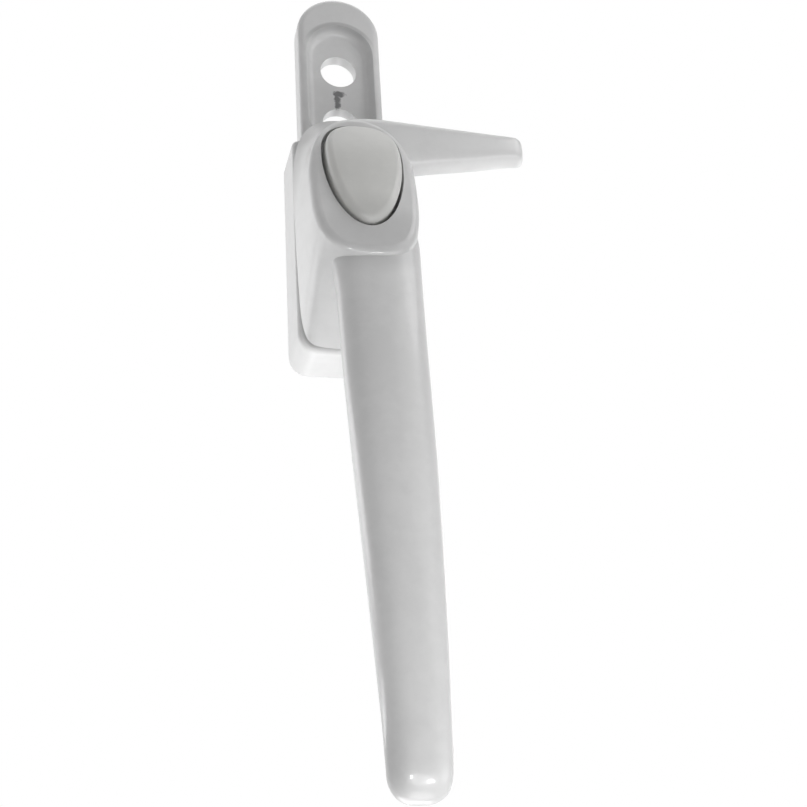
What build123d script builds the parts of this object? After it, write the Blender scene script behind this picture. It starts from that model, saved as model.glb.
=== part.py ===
from build123d import *
import math
import os

# Push-button cockspur window handle, closed: the spur points along +X and the grip hangs down.
# Origin: the pivot axis where it meets the back face of the base plate. +Z is up, the room is at -Y.
# All sizes are in millimetres. A depth is the distance from the back face towards the room.

# Base plate
tab_half_width = 7.6
tab_top = 45.8
tab_thickness = 4.3
body_half_width = 10.2
body_top = 10.5
body_bottom = -30.5
body_thickness = 9.3
shoulder_radius = 1.4
bottom_radius = 3.3
plate_edge_round = 1.0
tab_edge_round = 1.2

# Dished screw recess in the tab
recess_half_width = 6.2
recess_depth = 2.0
recess_floor_half_width = 5.2
recess_top_margin = 6.2
recess_floor_round = 1.0

# Fixing holes
screw_hole_radius = 3.3
upper_hole_height = 30.6
middle_hole_height = 19.1
lower_hole_height = -21.5
screw_head_radius = 5.2
screw_head_depth = 4.6

# Cored back of the plate
core_wall = 2.4
core_depth = 6.2
pivot_solid_radius = 9.0
screw_boss_radius = 6.2
smallest_corner = 0.4

# Pivot
spindle_radius = 3.0
spindle_head_radius = 4.2
spindle_head_thickness = 1.3
spindle_head_chamfer = 0.45
running_fit = 0.05
seat_fit = 0.02
face_gap = 0.04
pivot_boss_radius = 4.7
washer_thickness = 0.5
web_thickness = 2.0
bush_wall = 0.9
spring_washer_thickness = 0.6
spring_washer_stock = 0.35
rear_bore_radius = 6.0
rear_bore_depth = 3.8
rear_washer_thickness = 0.8
rear_washer_radius = 5.4
ring_thickness = 0.8
ring_width = 1.7
ring_groove_depth = 0.5
ring_mouth = 4.0
spindle_tail = 0.9

# Lever head
hub_gap = 0.4
hub_half_width = 10.3
hub_top = 14.6
hub_middle = -1.0
hub_top_power = 3.0
root_bottom = -29.8
root_power = 9.0
root_taper = 0.06
pad_half_width = 8.9
pad_shift = -0.4
pad_top = 10.8
pad_middle = -4.0
pad_bottom = -19.6
pad_top_power = 2.2
pad_bottom_power = 3.0
pad_depth = 18.9
pad_slope = 0.25
pad_edge_round = 1.4
head_outline_points = 36
hub_hollow_radius = 5.3
root_core_half_width = 5.6
root_core_corner = 2.8
root_core_top = -13.5
root_core_bottom = -25.2
root_core_depth = 4.0

# Grip
grip_overlap = 6.4
grip_bottom = -106.0
grip_stations = 16
grip_shift = 0.45
grip_neck_shift = 1.2
grip_shift_power = 5
grip_flare = 1.5
grip_flare_start = -28.0
grip_neck_height = -17.0
grip_step = 1.6
grip_sweep = 12.7
grip_end_height = -100.0
grip_sweep_power = 1.6
grip_neck_half_width = 6.9
grip_end_half_width = 4.5
grip_taper_power = 1.7
grip_crown = 3.6
grip_neck_cover = 3.1
grip_end_thickness = 8.4
grip_front_power = 2.4
grip_back_power = 2.2
grip_end_round = 4.2
grip_end_fullness = 0.75
grip_dome_steps = 9
grip_section_points = 24

# Spur
spur_heel = -4.0
spur_heel_shrink = 0.7
spur_root = 5.0
spur_tip = 29.8
spur_root_top = 11.9
spur_root_bottom = 1.9
spur_tip_top = 10.4
spur_tip_bottom = 6.2
spur_root_back = 10.3
spur_tip_back = 11.6
spur_root_front = 16.3
spur_tip_front = 16.0
spur_tip_round = 1.6
spur_tip_slant = 0.3
spur_power = 3.6
spur_stations = 4
spur_dome_steps = 6
spur_section_points = 24

# Push button
button_half_width = 6.3
button_shift = -0.2
button_top = 8.1
button_waist = 0.7
button_bottom = -13.3
button_top_power = 2.7
button_bottom_power = 1.95
button_proud = 2.6
button_crown_radius = 40.0
button_middle = -2.6
button_gap = 0.6
button_edge_round = 1.3
button_hollow_gap = 0.4
button_roof = 3.2
button_travel = 2.0
button_rest_gap = 0.3

# Locking pin
pin_offset = 7.3
pin_radius = 1.4
pin_head_depth = 2.2
pin_tip_clear = 0.45
lock_hole_depth = 2.6
lock_hole_gap = 0.2
clip_thickness = 0.5
clip_outer_radius = 2.2
clip_groove_depth = 0.4
clip_mouth = 2.0
clip_pocket_radius = 2.7
pin_spring_radius = 1.95
pin_spring_wire = 0.4
pin_spring_turns = 4

# Turning stop
turn_angle = 90.0
stop_radius = 1.2
stop_offset = 7.0
stop_seat = 4.0
stop_clearance = 0.25
stop_groove_depth = 2.2

# Depths along the pivot, from the back face towards the room
hub_back = body_thickness + hub_gap
button_ceiling = pad_depth + button_proud - button_roof
head_front = button_ceiling - button_rest_gap - button_travel
head_back = head_front - spindle_head_thickness
web_front = head_back - spring_washer_thickness
web_back = web_front - web_thickness
boss_front = web_back - washer_thickness
button_skirt = web_front + button_travel + button_rest_gap
rear_seat = rear_bore_depth - rear_washer_thickness
ring_back = rear_seat - face_gap - ring_thickness

# Depths along the grip
grip_neck_depth = pad_depth - pad_slope * pad_bottom - grip_step
grip_end_depth = grip_neck_depth + grip_sweep
grip_neck_thickness = grip_neck_depth - hub_back - grip_neck_cover
grip_top = pad_bottom + grip_overlap


def at_depth(depth):
    """Plane facing the room at a depth: its own x and y are the part's X and Z."""
    return Plane.XZ.offset(depth)


def disc(radius, x=0.0, z=0.0):
    return Pos(x, z) * Circle(radius)


def slab(sketch, back, front):
    """Solid of a sketch between two depths."""
    return extrude(at_depth(back) * sketch, front - back)


def pillar(radius, back, front, x=0.0, z=0.0):
    return slab(disc(radius, x, z), back, front)


def hull_of(circles):
    """Outline round a set of circles, each given as radius, x and z."""
    edges = ShapeList()
    for radius, x, z in circles:
        edges += disc(radius, x, z).edges()
    return make_hull(edges)


def soft_corner(angle, power):
    """Point of a rounded rectangle two units wide and high: the higher the power, the squarer it is."""
    across = math.cos(angle)
    along = math.sin(angle)
    x = math.copysign(abs(across) ** (2 / power), across)
    y = math.copysign(abs(along) ** (2 / power), along)
    return x, y


def turned_clockwise(x, z, angle):
    """A point of the lever after the lever has turned clockwise, seen from the room."""
    turn = math.radians(angle)
    return (x * math.cos(turn) + z * math.sin(turn), z * math.cos(turn) - x * math.sin(turn))


def pad_depth_at(z):
    return pad_depth - pad_slope * z


pad_plane = Plane(origin=(0, -pad_depth, 0), x_dir=(1, 0, 0), z_dir=(0, -1, pad_slope))


def tab_outline():
    straight = tab_top - tab_half_width
    round_end = disc(tab_half_width, 0, straight)
    return round_end + Pos(0, straight / 2) * Rectangle(2 * tab_half_width, straight)


def body_outline(inset=0.0):
    """Outline of the thick part of the plate, drawn in by an even inset."""
    side = body_half_width - inset
    corner_top = max(shoulder_radius - inset, smallest_corner)
    corner_bottom = max(bottom_radius - inset, smallest_corner)
    top = body_top - inset - corner_top
    bottom = body_bottom + inset + corner_bottom
    return hull_of([
        (corner_top, -side + corner_top, top),
        (corner_top, side - corner_top, top),
        (corner_bottom, -side + corner_bottom, bottom),
        (corner_bottom, side - corner_bottom, bottom),
    ])


def screw_recess():
    """Dished oblong recess that takes the two upper screw heads."""
    recess_top = tab_top - recess_top_margin - recess_half_width

    def oblong(half_width):
        return hull_of([(half_width, 0, recess_top), (half_width, 0, middle_hole_height)])

    floor = at_depth(tab_thickness - recess_depth) * oblong(recess_floor_half_width)
    rim = at_depth(tab_thickness) * oblong(recess_half_width)
    dish = loft([floor, rim])
    return fillet(dish.faces().sort_by(Axis.Y)[-1].edges(), recess_floor_round)


def make_base_plate():
    tab = slab(tab_outline(), 0, tab_thickness)
    tab = fillet(tab.faces().sort_by(Axis.Y)[0].edges().filter_by(Plane.XZ), tab_edge_round)
    body = slab(body_outline(), 0, body_thickness)
    body = fillet(body.faces().sort_by(Axis.Y)[0].edges(), plate_edge_round)
    plate = tab + body
    plate -= screw_recess() - slab(body_outline(), 0, body_thickness)
    plate += pillar(pivot_boss_radius, body_thickness, boss_front)
    for height in (upper_hole_height, middle_hole_height, lower_hole_height):
        plate -= pillar(screw_hole_radius, 0, body_thickness, 0, height)
    head_seat = body_thickness - screw_head_depth
    plate -= pillar(screw_head_radius, head_seat, body_thickness, 0, lower_hole_height)
    core = body_outline(core_wall) - disc(pivot_solid_radius) - disc(screw_boss_radius, 0, lower_hole_height)
    for web in core.faces():
        plate -= slab(web, 0, core_depth)
    plate -= pillar(spindle_radius + seat_fit, 0, boss_front)
    plate -= pillar(rear_bore_radius, 0, rear_bore_depth)
    for angle in (0, turn_angle):
        x, z = turned_clockwise(0, -pin_offset, angle)
        plate -= pillar(pin_radius + lock_hole_gap, body_thickness - lock_hole_depth, body_thickness, x, z)
    stop_floor = body_thickness - stop_seat
    plate -= pillar(stop_radius + seat_fit, stop_floor, body_thickness, 0, stop_offset)
    return plate


def soft_outline(half_width, shift, heights, powers, taper=0.0):
    """Smooth closed outline through a top, a middle and a bottom height, each half with its own fullness."""
    top, middle, bottom = heights
    points = []
    for step in range(head_outline_points):
        angle = 2 * math.pi * step / head_outline_points
        upper = math.sin(angle) >= 0
        across, along = soft_corner(angle, powers[0] if upper else powers[1])
        narrowing = 1 if upper else 1 + taper * along
        reach = top - middle if upper else middle - bottom
        points.append((shift + half_width * narrowing * across, middle + along * reach))
    return make_face(Spline(*points, periodic=True))


def button_outline(grow=0.0):
    """Egg-shaped outline of the button, point down, grown evenly for its pocket."""
    heights = (button_top + grow, button_waist, button_bottom - grow)
    return soft_outline(button_half_width + grow, button_shift, heights, (button_top_power, button_bottom_power))


def make_head():
    hub_heights = (hub_top, hub_middle, root_bottom)
    pad_heights = (pad_top, pad_middle, pad_bottom)
    back = soft_outline(hub_half_width, 0, hub_heights, (hub_top_power, root_power), root_taper)
    front = soft_outline(pad_half_width, pad_shift, pad_heights, (pad_top_power, pad_bottom_power))
    head = loft([at_depth(hub_back) * back, pad_plane * front])
    return fillet(head.faces().sort_by(Axis.Y)[0].edges(), pad_edge_round)


def grip_share(z):
    """How far down the grip a height lies: 0 at the neck, 1 at the end."""
    return min((grip_neck_height - z) / (grip_neck_height - grip_end_height), 1.0)


def grip_front(z):
    return grip_end_depth - grip_sweep * (1 - grip_share(z)) ** grip_sweep_power


def grip_flare_at(z):
    """How far the left edge spreads towards the head above the start of the flare."""
    return grip_flare * max((z - grip_flare_start) / (grip_top - grip_flare_start), 0.0) ** 2


def grip_half_width(z):
    taper = max(grip_share(z), 0.0) ** grip_taper_power
    half_width = grip_neck_half_width + (grip_end_half_width - grip_neck_half_width) * taper
    return half_width + grip_flare_at(z)


def grip_middle(z):
    lean = max(1 - max(grip_share(z), 0.0), 0.0) ** grip_shift_power
    return grip_shift + grip_neck_shift * lean - grip_flare_at(z)


def grip_thickness(z):
    return grip_neck_thickness + (grip_end_thickness - grip_neck_thickness) * grip_share(z)


def grip_section(z, scale=1.0, drop=0.0):
    """Crowned front and rounder back, widest a little behind the front, shrunk about its middle."""
    half_width = grip_half_width(z) * scale
    centre = grip_front(z) - grip_thickness(z) / 2
    widest = centre + (grip_thickness(z) / 2 - grip_crown) * scale
    points = []
    for step in range(grip_section_points):
        angle = 2 * math.pi * step / grip_section_points
        ahead = math.sin(angle) >= 0
        across, forward = soft_corner(angle, grip_front_power if ahead else grip_back_power)
        reach = grip_crown if ahead else grip_thickness(z) - grip_crown
        depth = widest + forward * reach * scale
        points.append((grip_middle(z) + across * half_width, -depth, z - drop))
    return make_face(Spline(*points, periodic=True))


def make_grip():
    dome_start = grip_bottom + grip_end_round
    length = grip_top - dome_start
    sections = []
    for station in range(grip_stations + 1):
        sections.append(grip_section(grip_top - length * station / grip_stations))
    for step in range(1, grip_dome_steps):
        angle = math.pi / 2 * step / grip_dome_steps
        shrink = math.cos(angle) ** grip_end_fullness
        sections.append(grip_section(dome_start, shrink, grip_end_round * math.sin(angle)))
    return loft(sections)


def spur_section(x, scale=1.0, reach=0.0):
    """Soft-cornered section across the spur, shrunk about its middle and set out by the reach."""
    share = (x - spur_root) / (spur_tip - spur_root)

    def between(root, tip):
        return root + (tip - root) * share

    top = between(spur_root_top, spur_tip_top)
    bottom = between(spur_root_bottom, spur_tip_bottom)
    back = between(spur_root_back, spur_tip_back)
    front = between(spur_root_front, spur_tip_front)
    points = []
    for step in range(spur_section_points):
        up, forward = soft_corner(2 * math.pi * step / spur_section_points, spur_power)
        ahead = forward * scale * (front - back) / 2
        height = (top + bottom) / 2 + up * scale * (top - bottom) / 2
        points.append((x + reach - spur_tip_slant * share * ahead, -(front + back) / 2 - ahead, height))
    return make_face(Spline(*points, periodic=True))


def make_spur():
    straight = spur_tip - spur_tip_round
    sections = [spur_section(spur_heel, spur_heel_shrink)]
    for station in range(spur_stations + 1):
        sections.append(spur_section(spur_root + (straight - spur_root) * station / spur_stations))
    for step in range(1, spur_dome_steps):
        angle = math.pi / 2 * step / spur_dome_steps
        sections.append(spur_section(straight, math.sqrt(math.cos(angle)), spur_tip_round * math.sin(angle)))
    return loft(sections)


def stop_groove():
    """Curved slot in the back of the head that runs past the stop pin as the lever turns."""
    inner = stop_offset - stop_radius - stop_clearance
    outer = stop_offset + stop_radius + stop_clearance
    ring = disc(outer) - disc(inner)
    quarter = Pos(-outer, outer) * Rectangle(2 * outer, 2 * outer)
    slot = ring & quarter
    for x, z in ((0, stop_offset), turned_clockwise(0, stop_offset, -turn_angle)):
        slot += disc(stop_radius + stop_clearance, x, z)
    return slab(slot, hub_back, hub_back + stop_groove_depth)


def make_lever():
    lever = make_head() + make_grip() + make_spur()
    pocket_mouth = pad_depth_at(button_bottom) + button_proud + pad_edge_round
    lever -= slab(button_outline(button_gap), web_front, pocket_mouth)
    lever -= pillar(hub_hollow_radius, hub_back, web_back)
    lever -= pillar(clip_pocket_radius, hub_back, web_back, 0, -pin_offset)
    lever -= pillar(pin_radius + running_fit, web_back, web_front, 0, -pin_offset)
    lever -= pillar(spindle_radius + bush_wall + seat_fit, web_back, web_front)
    lever -= stop_groove()
    corners = []
    for side in (-1, 1):
        x = side * (root_core_half_width - root_core_corner)
        corners.append((root_core_corner, x, root_core_top - root_core_corner))
        corners.append((root_core_corner, x, root_core_bottom + root_core_corner))
    root_core = hull_of(corners)
    lever -= slab(root_core, hub_back, hub_back + root_core_depth)
    return lever


def make_push_button():
    mouth = pad_depth_at(button_bottom) + 2 * button_proud
    button = slab(button_outline(), button_skirt, mouth)
    face_middle = Vector(0, -pad_depth_at(button_middle), button_middle)
    crown_middle = face_middle + pad_plane.z_dir * (button_proud - button_crown_radius)
    button &= Pos(*crown_middle) * Sphere(button_crown_radius)
    button = fillet(button.faces().sort_by(Axis.Y)[0].edges(), button_edge_round)
    hollow = hull_of([
        (spindle_head_radius + button_hollow_gap, 0, 0),
        (pin_spring_radius + pin_spring_wire + button_hollow_gap, 0, -pin_offset),
    ])
    button -= slab(hollow, button_skirt, button_ceiling)
    button -= pillar(pin_radius + seat_fit, button_ceiling, button_ceiling + pin_head_depth, 0, -pin_offset)
    return button


def make_locking_pin():
    tip = body_thickness + pin_tip_clear
    pin = pillar(pin_radius, tip, button_ceiling + pin_head_depth, 0, -pin_offset)
    groove_front = web_back - face_gap + seat_fit
    groove_back = groove_front - clip_thickness - 2 * seat_fit
    groove = disc(pin_radius, 0, -pin_offset) - disc(pin_radius - clip_groove_depth, 0, -pin_offset)
    return pin - slab(groove, groove_back, groove_front)


def open_ring(outer, inner, mouth, z=0.0):
    """Flat retaining ring with a mouth that lets it slide on from the side."""
    ring = disc(outer, 0, z) - disc(inner, 0, z)
    return ring - Pos(outer, z) * Rectangle(2 * outer, mouth)


def make_pin_clip():
    front = web_back - face_gap
    inner = pin_radius - clip_groove_depth + seat_fit
    return slab(open_ring(clip_outer_radius, inner, clip_mouth, -pin_offset), front - clip_thickness, front)


def make_button_spring():
    half_wire = pin_spring_wire / 2
    start = web_front + half_wire + seat_fit
    length = button_ceiling - web_front - pin_spring_wire - 2 * seat_fit
    helix = Helix(
        pitch=length / pin_spring_turns,
        height=length,
        radius=pin_spring_radius,
        center=(0, -start, -pin_offset),
        direction=(0, -1, 0),
    )
    section = Plane(origin=helix @ 0, z_dir=helix % 0) * Circle(half_wire)
    return sweep(section, path=helix)


def make_spindle():
    spindle = pillar(spindle_radius, spindle_tail, head_back)
    head = pillar(spindle_head_radius, head_back, head_front)
    spindle += chamfer(head.faces().sort_by(Axis.Y)[0].edges(), spindle_head_chamfer)
    groove = disc(spindle_radius) - disc(spindle_radius - ring_groove_depth)
    groove_back = ring_back - seat_fit
    groove_front = ring_back + ring_thickness + seat_fit
    return spindle - slab(groove, groove_back, groove_front)


def washer(outer, back, front):
    return slab(disc(outer) - disc(spindle_radius + running_fit), back, front)


def make_spindle_bush():
    outer = spindle_radius + bush_wall
    return slab(disc(outer) - disc(spindle_radius + running_fit), web_back, web_front)


def make_spring_washer():
    """Thin cone that keeps the lever from rattling."""
    inner = spindle_radius + running_fit
    outer = spindle_head_radius
    low = web_front + face_gap / 2
    high = head_back - face_gap / 2
    profile = Polyline(
        (outer, -low),
        (inner, spring_washer_stock - high),
        (inner, -high),
        (outer, -low - spring_washer_stock),
        close=True,
    )
    return revolve(make_face(profile), Axis.Y, 360)


def make_retaining_ring():
    inner = spindle_radius - ring_groove_depth + seat_fit
    ring = open_ring(inner + ring_width, inner, ring_mouth)
    return slab(ring, ring_back, ring_back + ring_thickness)


def make_stop_pin():
    floor = body_thickness - stop_seat
    return pillar(stop_radius, floor, hub_back + stop_groove_depth - stop_clearance, 0, stop_offset)


parts = {
    "base_plate": make_base_plate(),
    "lever": make_lever(),
    "push_button": make_push_button(),
    "button_spring": make_button_spring(),
    "locking_pin": make_locking_pin(),
    "pin_clip": make_pin_clip(),
    "spindle": make_spindle(),
    "spindle_bush": make_spindle_bush(),
    "thrust_washer": washer(pivot_boss_radius, boss_front + face_gap / 2, web_back - face_gap / 2),
    "spring_washer": make_spring_washer(),
    "rear_washer": washer(rear_washer_radius, rear_seat, rear_bore_depth - seat_fit),
    "retaining_ring": make_retaining_ring(),
    "stop_pin": make_stop_pin(),
}

os.makedirs("parts", exist_ok=True)
for name, solid in parts.items():
    export_step(solid, f"parts/{name}.step")
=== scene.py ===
import math

import bmesh
import bpy
from mathutils import Matrix, Vector


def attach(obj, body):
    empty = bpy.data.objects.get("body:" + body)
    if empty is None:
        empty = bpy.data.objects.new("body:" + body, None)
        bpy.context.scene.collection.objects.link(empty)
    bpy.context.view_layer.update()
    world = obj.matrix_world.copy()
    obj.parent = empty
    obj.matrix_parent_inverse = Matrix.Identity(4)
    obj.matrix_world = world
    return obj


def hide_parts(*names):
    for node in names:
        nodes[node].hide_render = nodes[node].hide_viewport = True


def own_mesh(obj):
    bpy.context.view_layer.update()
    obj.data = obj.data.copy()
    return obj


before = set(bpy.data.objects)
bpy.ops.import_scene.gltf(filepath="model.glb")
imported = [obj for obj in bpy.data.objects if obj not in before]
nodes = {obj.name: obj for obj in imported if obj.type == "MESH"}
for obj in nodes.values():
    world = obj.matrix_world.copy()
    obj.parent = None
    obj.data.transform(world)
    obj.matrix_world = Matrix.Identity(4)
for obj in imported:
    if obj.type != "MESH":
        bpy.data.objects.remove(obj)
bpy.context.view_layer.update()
scene = bpy.context.scene
scene.view_settings.view_transform = "Standard"

# Camera, fitted to the picture's outline: metres and degrees in the handle's own frame
CAMERA_PLACE = Vector((-0.048727, -0.223761, -0.137409))
CAMERA_AZIMUTH = -14.512
CAMERA_ELEVATION = -23.972
CAMERA_ROLL = -3.423
CAMERA_LENS = 66.914
CAMERA_SENSOR = 36.0
CAMERA_CLIP = 0.01

# Finishes, as linear colours
PAINT_WHITE = (0.80, 0.80, 0.80)
BUTTON_WHITE = (0.775, 0.775, 0.752)
# Dark colour for the grease smear and for the painted shade in the recess and below the button
GRIME_AND_SHADE = (0.055, 0.055, 0.06)
STEEL = (0.58, 0.57, 0.55)
SPRING_STEEL = (0.30, 0.30, 0.31)
NYLON = (0.84, 0.80, 0.70)
FLOOR_GREY = (0.82, 0.82, 0.82)

# Noise runs from 0 to 1 about this value, and its scales are in grains per metre
NOISE_MIDDLE = 0.5
# Sprayed paint: its grain, how far its tone and gloss wander, and the clear coat
PEEL_SCALE = 1500.0
RIPPLE_SCALE = 420.0
DRIFT_SCALE = 55.0
MOTTLE_SCALE = 400.0
DRIFT_SHARE = 0.55
MOTTLE_SHARE = 0.45
PAINT_TURN = (0.36, 0.62)
PAINT_DARKER = 0.945
PAINT_ROUGHNESS = 0.36
BUTTON_ROUGHNESS = 0.44
DRIFT_GLOSS = 0.10
PEEL_GLOSS = 0.05
STAIN_AND_SHADE_GLOSS = 0.3
PEEL_SHARE = 0.5
PEEL_BUMP = 0.16
PEEL_HEIGHT = 0.00006
COAT_WEIGHT = 0.35
COAT_ROUGHNESS = 0.06
# Turned and drawn steel: fine rings along the axis, and blotches
RING_STRETCH = (1.0, 9.0, 1.0)
RING_SCALE = 1400.0
BLOTCH_SCALE = 260.0
BLOTCH_TURN = (0.3, 0.7)
STEEL_DARKER = 0.72
STEEL_ROUGHNESS = 0.32
SPRING_ROUGHNESS = 0.38
RING_GLOSS = 0.22
RING_BUMP = 0.25
RING_HEIGHT = 0.00003
# Moulded nylon
NYLON_SCALE = 700.0
NYLON_TURN = (0.3, 0.7)
NYLON_DARKER = 0.86
NYLON_ROUGHNESS = 0.42
NYLON_GLOSS = 0.2
NYLON_BUMP = 0.2
NYLON_HEIGHT = 0.00005

# Smear on the recess floor: x, z, half width and half height of its head and its tail
SMEAR_HEAD = (0.0000, 0.0257, 0.0015, 0.0009)
SMEAR_TAIL = (-0.0004, 0.0239, 0.0008, 0.0020)
SMEAR_SCALE = 620.0
SMEAR_RAGGED = 2.4
SMEAR_EDGE = (0.15, 0.75)
SMEAR_DARK = 0.82
# Painted shade along the upper rim of the recess, where its upper wall lies in shadow: x, z and radius of
# the rim's arc, and half the width of the shade
RIM_ARC = (0.0, 0.0334, 0.0063)
RIM_SHADE_HALF_WIDTH = 0.0008
RIM_SHADE_RISE = (0.0350, 0.0385)
RIM_SHADE_DARK = 0.32
# Only what lies in front of this depth gets the smear and the painted shade, with a short fade
RECESS_FRONT = -0.0018
RECESS_FADE = 0.0002
# Painted shade greying the face below the button: x, z, half width and half height
PAD_SHADE_AREA = (0.0005, -0.0155, 0.0105, 0.0085)
PAD_SHADE_FRONT = -0.0175
PAD_SHADE_FADE = 0.001
PAD_SHADE_DARK = 0.19

# Button spring: its axis runs towards the room at this height, from the web of the lever to the button
COIL_HEIGHT = -0.0073
COIL_BACK = 0.01412
COIL_FRONT = 0.01828
COIL_RADIUS = 0.00195
COIL_WIRE = 0.0002
COIL_END_RISE = 0.00042
COIL_MIDDLE_TURNS = 2.5
COIL_STEPS = 28
COIL_SIDES = 10

# Room
FLOOR_HEIGHT = -0.50
FLOOR_SIZE = 30.0
FLOOR_GLOW = 0.78
FLOOR_TONE_SCALE = 3.0
FLOOR_PALER = 1.02
FLOOR_ROUGHNESS = 0.9
AMBIENT = 0.23
HANDLE_MIDDLE = (0.0, -0.015, -0.04)
GRIP_END = (0.0, -0.03, -0.08)
PLATE_SIDE = (-0.01, 0.005, -0.01)
# Each softbox: name, place, aim, size, power
SOFTBOXES = (
    ("below", (0.0, -0.015, -0.46), HANDLE_MIDDLE, 0.30, 0.52),
    ("above", (0.0, -0.015, 0.30), HANDLE_MIDDLE, 0.24, 0.12),
    ("upper_right_front", (0.196, -0.211, 0.156), HANDLE_MIDDLE, 0.24, 0.13),
    ("left_above", (-0.240, -0.015, 0.200), HANDLE_MIDDLE, 0.24, 0.03),
    ("left_behind_above", (-0.196, 0.181, 0.156), HANDLE_MIDDLE, 0.24, 0.07),
    ("behind_below", (0.0, 0.225, -0.280), HANDLE_MIDDLE, 0.24, 0.30),
    ("right_behind", (0.240, 0.225, -0.040), HANDLE_MIDDLE, 0.24, 0.18),
    ("grip_end_front", (0.0, -0.15, -0.16), GRIP_END, 0.10, 0.068),
    ("grip_end_right", (0.12, -0.10, -0.12), GRIP_END, 0.08, 0.050),
    ("grip_right", (0.05, -0.08, -0.07), (0.0, -0.028, -0.062), 0.05, 0.003),
    ("plate_left", (-0.09, 0.02, -0.02), PLATE_SIDE, 0.06, 0.0185),
    ("plate_left_behind", (-0.08, 0.06, 0.0), PLATE_SIDE, 0.08, 0.009),
    ("root_below", (-0.03, -0.002, -0.085), (-0.005, -0.008, -0.03), 0.04, 0.010),
    ("spur_above", (0.06, -0.05, 0.04), (0.02, -0.013, 0.008), 0.04, 0.008),
)
# Small lamps seen only in the gloss, where the rounded end of the grip mirrors them
GLINTS = (
    ("end_glint_left", (-0.0855, -0.2569, -0.1804), GRIP_END, 0.045, 0.20),
    ("end_glint_right", (0.0854, -0.2367, -0.2241), GRIP_END, 0.060, 0.20),
)

# The colour sockets of a Mix node, which shares their names with its other kinds
MIX_FIRST = 6
MIX_SECOND = 7
MIX_RESULT = 2


class Flow:
    """One output of a node tree, so that shader maths is written as arithmetic."""

    def __init__(self, tree, socket=None):
        self.tree = tree
        self.socket = socket

    def node(self, kind, settings=None, inputs=None, output=0):
        """Any node: its type, its settings, the values or links of its sockets, and the output wanted."""
        made = self.tree.nodes.new(kind)
        for name, value in (settings or {}).items():
            setattr(made, name, value)
        for name, value in (inputs or {}).items():
            if isinstance(value, Flow):
                self.tree.links.new(value.socket, made.inputs[name])
            else:
                made.inputs[name].default_value = value
        return Flow(self.tree, made.outputs[output])

    def math(self, operation, first, second=0.0):
        return self.node("ShaderNodeMath", {"operation": operation}, {0: first, 1: second})

    def __add__(self, other):
        return self.math("ADD", self, other)

    def __radd__(self, other):
        return self.math("ADD", other, self)

    def __sub__(self, other):
        return self.math("SUBTRACT", self, other)

    def __rsub__(self, other):
        return self.math("SUBTRACT", other, self)

    def __mul__(self, other):
        return self.math("MULTIPLY", self, other)

    def __rmul__(self, other):
        return self.math("MULTIPLY", other, self)

    def __truediv__(self, other):
        return self.math("DIVIDE", self, other)

    def __rtruediv__(self, other):
        return self.math("DIVIDE", other, self)

    def __pow__(self, other):
        return self.math("POWER", self, other)

    def __rpow__(self, other):
        return self.math("POWER", other, self)

    def clamped(self):
        return self.math("MINIMUM", self.math("MAXIMUM", self, 0.0), 1.0)

    def ramp(self, low, high):
        """0 below low, 1 above high, smooth between."""
        return self.node(
            "ShaderNodeMapRange",
            {"interpolation_type": "SMOOTHSTEP"},
            {"Value": self, "From Min": low, "From Max": high},
        )

    def mixed(self, first, second):
        """First colour where this mask is 0, second where it is 1."""
        ends = [value if isinstance(value, Flow) else (*value, 1.0) for value in (first, second)]
        inputs = {"Factor": self, MIX_FIRST: ends[0], MIX_SECOND: ends[1]}
        return self.node("ShaderNodeMix", {"data_type": "RGBA"}, inputs, MIX_RESULT)


def new_material(name):
    """An empty material with a principled shader, its tree's start and its place on the piece."""
    material = bpy.data.materials.new(name)
    material.use_nodes = True
    shader = material.node_tree.nodes["Principled BSDF"]
    flow = Flow(material.node_tree)
    place = flow.node("ShaderNodeTexCoord", output="Object")
    return material, shader, flow, place


def shaded(colour, part):
    return tuple(channel * part for channel in colour)


def noise(flow, place, scale, detail, rough):
    inputs = {"Vector": place, "Scale": scale, "Detail": detail, "Roughness": rough}
    return flow.node("ShaderNodeTexNoise", {"noise_dimensions": "3D"}, inputs)


def feed(shader, socket, value):
    shader.id_data.links.new(value.socket, shader.inputs[socket])


def bumped(flow, height, strength, distance):
    return flow.node("ShaderNodeBump", None, {"Height": height, "Strength": strength, "Distance": distance})


def axis_parts(flow, place):
    return [flow.node("ShaderNodeSeparateXYZ", None, {"Vector": place}, part) for part in range(3)]


def ellipse(across, up, half_width, half_height):
    """1 at the middle of an ellipse, 0 on its edge, falling on outside it."""
    return 1 - (across / half_width) ** 2 - (up / half_height) ** 2


def smear_and_rim_shade(flow, place):
    """A dark smear between the upper screw holes, and painted shade along the upper rim of the recess."""
    x, y, z = axis_parts(flow, place)
    on_front = (RECESS_FRONT - y).ramp(0.0, RECESS_FADE)
    ragged = noise(flow, place, SMEAR_SCALE, 4.0, 0.65)
    head = ellipse(x - SMEAR_HEAD[0], z - SMEAR_HEAD[1], *SMEAR_HEAD[2:])
    tail = ellipse(x - SMEAR_TAIL[0], z - SMEAR_TAIL[1], *SMEAR_TAIL[2:])
    blot = flow.math("MAXIMUM", tail, head) + (ragged - NOISE_MIDDLE) * SMEAR_RAGGED
    smear = blot.ramp(*SMEAR_EDGE) * SMEAR_DARK
    reach = ((x - RIM_ARC[0]) ** 2 + (z - RIM_ARC[1]) ** 2) ** 0.5
    band = 1 - ((reach - RIM_ARC[2]) / RIM_SHADE_HALF_WIDTH) ** 2
    # Painted shade: a dark band along the upper rim of the recess, strongest at the top of the arc
    rim_shade = band.ramp(0.0, 1.0) * z.ramp(*RIM_SHADE_RISE) * RIM_SHADE_DARK
    return flow.math("MAXIMUM", smear, rim_shade) * on_front


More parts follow.
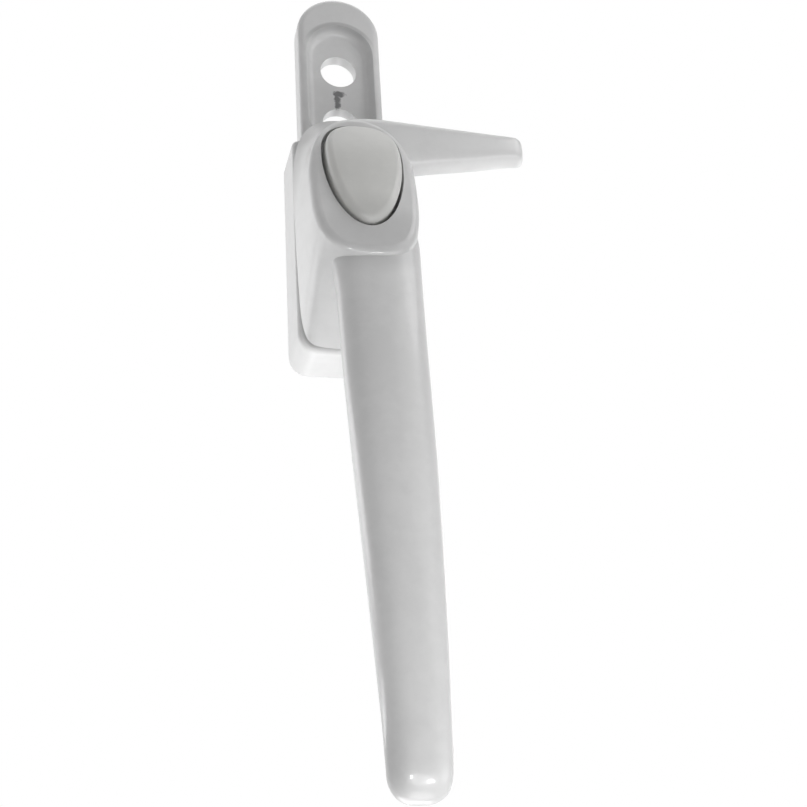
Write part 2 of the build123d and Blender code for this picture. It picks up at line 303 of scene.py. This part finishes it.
def pad_shade(flow, place):
    """Painted shade: a faint greying of the face below the button."""
    x, y, z = axis_parts(flow, place)
    on_front = (PAD_SHADE_FRONT - y).ramp(0.0, PAD_SHADE_FADE)
    mark = ellipse(x - PAD_SHADE_AREA[0], z - PAD_SHADE_AREA[1], *PAD_SHADE_AREA[2:])
    return mark.ramp(0.0, 1.0) * on_front * PAD_SHADE_DARK


def white_paint(name, colour, roughness, stain_and_shade_of):
    """Sprayed gloss paint on a casting: a faint orange peel, a slow drift in tone, and its stains and
    painted shade.
    """
    material, shader, flow, place = new_material(name)
    peel = noise(flow, place, PEEL_SCALE, 2.0, 0.45)
    ripple = noise(flow, place, RIPPLE_SCALE, 1.0, 0.4)
    drift = noise(flow, place, DRIFT_SCALE, 2.0, 0.5)
    mottle = noise(flow, place, MOTTLE_SCALE, 3.0, 0.6)
    stain_and_shade = stain_and_shade_of(flow, place)
    wander = (drift * DRIFT_SHARE + mottle * MOTTLE_SHARE).ramp(*PAINT_TURN)
    clean = wander.mixed(shaded(colour, PAINT_DARKER), colour)
    drift_gloss = (drift - NOISE_MIDDLE) * DRIFT_GLOSS
    peel_gloss = (peel - NOISE_MIDDLE) * PEEL_GLOSS
    # Base colour goes towards the dark colour under the smear and where shade is painted
    feed(shader, "Base Color", stain_and_shade.mixed(clean, GRIME_AND_SHADE))
    feed(shader, "Roughness", roughness + drift_gloss + peel_gloss + stain_and_shade * STAIN_AND_SHADE_GLOSS)
    feed(shader, "Normal", bumped(flow, peel * PEEL_SHARE + ripple, PEEL_BUMP, PEEL_HEIGHT))
    shader.inputs["Coat Weight"].default_value = COAT_WEIGHT
    shader.inputs["Coat Roughness"].default_value = COAT_ROUGHNESS
    return material


def turned_steel(name, colour, roughness):
    """Turned or drawn steel with fine rings and a little uneven shine."""
    material, shader, flow, place = new_material(name)
    stretched = flow.node("ShaderNodeMapping", None, {"Vector": place, "Scale": RING_STRETCH})
    rings = noise(flow, stretched, RING_SCALE, 3.0, 0.6)
    blotch = noise(flow, place, BLOTCH_SCALE, 2.0, 0.5).ramp(*BLOTCH_TURN)
    feed(shader, "Base Color", blotch.mixed(shaded(colour, STEEL_DARKER), colour))
    feed(shader, "Roughness", roughness + (rings - NOISE_MIDDLE) * RING_GLOSS)
    feed(shader, "Normal", bumped(flow, rings, RING_BUMP, RING_HEIGHT))
    shader.inputs["Metallic"].default_value = 1.0
    return material


def natural_nylon(name):
    """Moulded nylon: creamy, dull and a little mottled."""
    material, shader, flow, place = new_material(name)
    mottle = noise(flow, place, NYLON_SCALE, 3.0, 0.55)
    feed(shader, "Base Color", mottle.ramp(*NYLON_TURN).mixed(shaded(NYLON, NYLON_DARKER), NYLON))
    feed(shader, "Roughness", NYLON_ROUGHNESS + (mottle - NOISE_MIDDLE) * NYLON_GLOSS)
    feed(shader, "Normal", bumped(flow, mottle, NYLON_BUMP, NYLON_HEIGHT))
    return material


def dress(names, material):
    for name in names:
        nodes[name].data.materials.clear()
        nodes[name].data.materials.append(material)


dress(["base_plate"], white_paint("plate_paint", PAINT_WHITE, PAINT_ROUGHNESS, smear_and_rim_shade))
dress(["lever"], white_paint("lever_paint", PAINT_WHITE, PAINT_ROUGHNESS, pad_shade))
dress(["push_button"], white_paint("button_finish", BUTTON_WHITE, BUTTON_ROUGHNESS, pad_shade))
bright_steel = turned_steel("turned_steel", STEEL, STEEL_ROUGHNESS)
dress(["spindle", "rear_washer", "locking_pin", "stop_pin"], bright_steel)
spring_steel = turned_steel("spring_steel", SPRING_STEEL, SPRING_ROUGHNESS)
dress(["button_spring", "pin_clip", "spring_washer", "retaining_ring"], spring_steel)
dress(["spindle_bush", "thrust_washer"], natural_nylon("natural_nylon"))


def make_coil():
    """Coil spring with closed end turns, fixed to the lever."""
    coil = bmesh.new()
    ring = bmesh.ops.create_circle(coil, segments=COIL_SIDES, radius=COIL_WIRE)
    start = (COIL_RADIUS, -COIL_BACK - COIL_WIRE, COIL_HEIGHT)
    bmesh.ops.translate(coil, verts=ring["verts"], vec=start)
    section = coil.edges[:]
    rise = COIL_FRONT - COIL_BACK - 2 * COIL_WIRE - 2 * COIL_END_RISE
    for turns, climb in ((1.0, COIL_END_RISE), (COIL_MIDDLE_TURNS, rise), (1.0, COIL_END_RISE)):
        steps = round(turns * COIL_STEPS)
        swept = bmesh.ops.spin(
            coil,
            geom=section,
            cent=(0.0, 0.0, COIL_HEIGHT),
            axis=(0.0, -1.0, 0.0),
            dvec=(0.0, -climb / steps, 0.0),
            angle=turns * 2 * math.pi,
            steps=steps,
        )
        section = [part for part in swept["geom_last"] if isinstance(part, bmesh.types.BMEdge)]
    bmesh.ops.holes_fill(coil, edges=[edge for edge in coil.edges if edge.is_boundary])
    bmesh.ops.recalc_face_normals(coil, faces=coil.faces)
    for face in coil.faces:
        face.smooth = len(face.verts) == 4
    mesh = bpy.data.meshes.new("button_coil")
    coil.to_mesh(mesh)
    coil.free()
    mesh.materials.append(spring_steel)
    piece = bpy.data.objects.new("button_coil", mesh)
    scene.collection.objects.link(piece)
    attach(piece, "lever")
    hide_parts("button_spring")
    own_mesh(piece)


def make_floor():
    """Plain pale floor, well below the handle."""
    mesh = bpy.data.meshes.new("floor")
    floor = bpy.data.objects.new("floor", mesh)
    scene.collection.objects.link(floor)
    grid = bmesh.new()
    bmesh.ops.create_grid(grid, x_segments=2, y_segments=2, size=FLOOR_SIZE / 2)
    bmesh.ops.translate(grid, verts=grid.verts, vec=(0.0, 0.0, FLOOR_HEIGHT))
    grid.to_mesh(mesh)
    grid.free()
    material, shader, flow, place = new_material("floor_paper")
    tone = noise(flow, place, FLOOR_TONE_SCALE, 2.0, 0.5)
    feed(shader, "Base Color", tone.mixed(FLOOR_GREY, shaded(FLOOR_GREY, FLOOR_PALER)))
    shader.inputs["Roughness"].default_value = FLOOR_ROUGHNESS
    seen = flow.node("ShaderNodeLightPath", output="Is Camera Ray")
    mirrored = flow.node("ShaderNodeLightPath", output="Is Glossy Ray")
    glow = flow.node("ShaderNodeEmission", None, {"Strength": 1.0})
    paper = Flow(material.node_tree, shader.outputs[0])
    blend = {0: (seen + mirrored).clamped() * FLOOR_GLOW, 1: paper, 2: glow}
    shown = flow.node("ShaderNodeMixShader", None, blend)
    feed(material.node_tree.nodes["Material Output"], "Surface", shown)
    mesh.materials.append(material)


def make_world():
    """White to the camera and in reflections, a low even light otherwise."""
    world = bpy.data.worlds.new("studio")
    scene.world = world
    world.use_nodes = True
    flow = Flow(world.node_tree)
    seen = flow.node("ShaderNodeLightPath", output="Is Camera Ray")
    mirrored = flow.node("ShaderNodeLightPath", output="Is Glossy Ray")
    through = flow.node("ShaderNodeLightPath", output="Is Transmission Ray")
    shown = (seen + mirrored + through).clamped()
    backdrop = world.node_tree.nodes["Background"]
    feed(backdrop, "Strength", AMBIENT + shown * (1.0 - AMBIENT))
    backdrop.inputs["Color"].default_value = (1.0, 1.0, 1.0, 1.0)


def add_softbox(name, place, target, size, power, gloss_only=False):
    light = bpy.data.lights.new(name, "AREA")
    light.shape = "DISK"
    light.size = size
    light.energy = power
    lamp = bpy.data.objects.new(name, light)
    aim = (Vector(target) - Vector(place)).to_track_quat("-Z", "Y")
    lamp.matrix_world = Matrix.Translation(Vector(place)) @ aim.to_matrix().to_4x4()
    lamp.visible_camera = False
    lamp.visible_diffuse = not gloss_only
    scene.collection.objects.link(lamp)


def add_camera():
    azimuth = math.radians(CAMERA_AZIMUTH)
    elevation = math.radians(CAMERA_ELEVATION)
    roll = math.radians(CAMERA_ROLL)
    back = Vector((
        math.sin(azimuth) * math.cos(elevation),
        -math.cos(azimuth) * math.cos(elevation),
        math.sin(elevation),
    ))
    level = Vector((math.cos(azimuth), math.sin(azimuth), 0.0))
    upright = back.cross(level)
    right = math.cos(roll) * level + math.sin(roll) * upright
    up = math.cos(roll) * upright - math.sin(roll) * level
    camera = bpy.data.cameras.new("camera")
    camera.sensor_fit = "HORIZONTAL"
    camera.sensor_width = CAMERA_SENSOR
    camera.lens = CAMERA_LENS
    camera.clip_start = CAMERA_CLIP
    holder = bpy.data.objects.new("camera", camera)
    turn = Matrix((right, up, back)).transposed().to_4x4()
    holder.matrix_world = Matrix.Translation(CAMERA_PLACE) @ turn
    scene.collection.objects.link(holder)
    scene.camera = holder


make_coil()
make_floor()
make_world()
for softbox in SOFTBOXES:
    add_softbox(*softbox)
for glint in GLINTS:
    add_softbox(*glint, gloss_only=True)
add_camera()
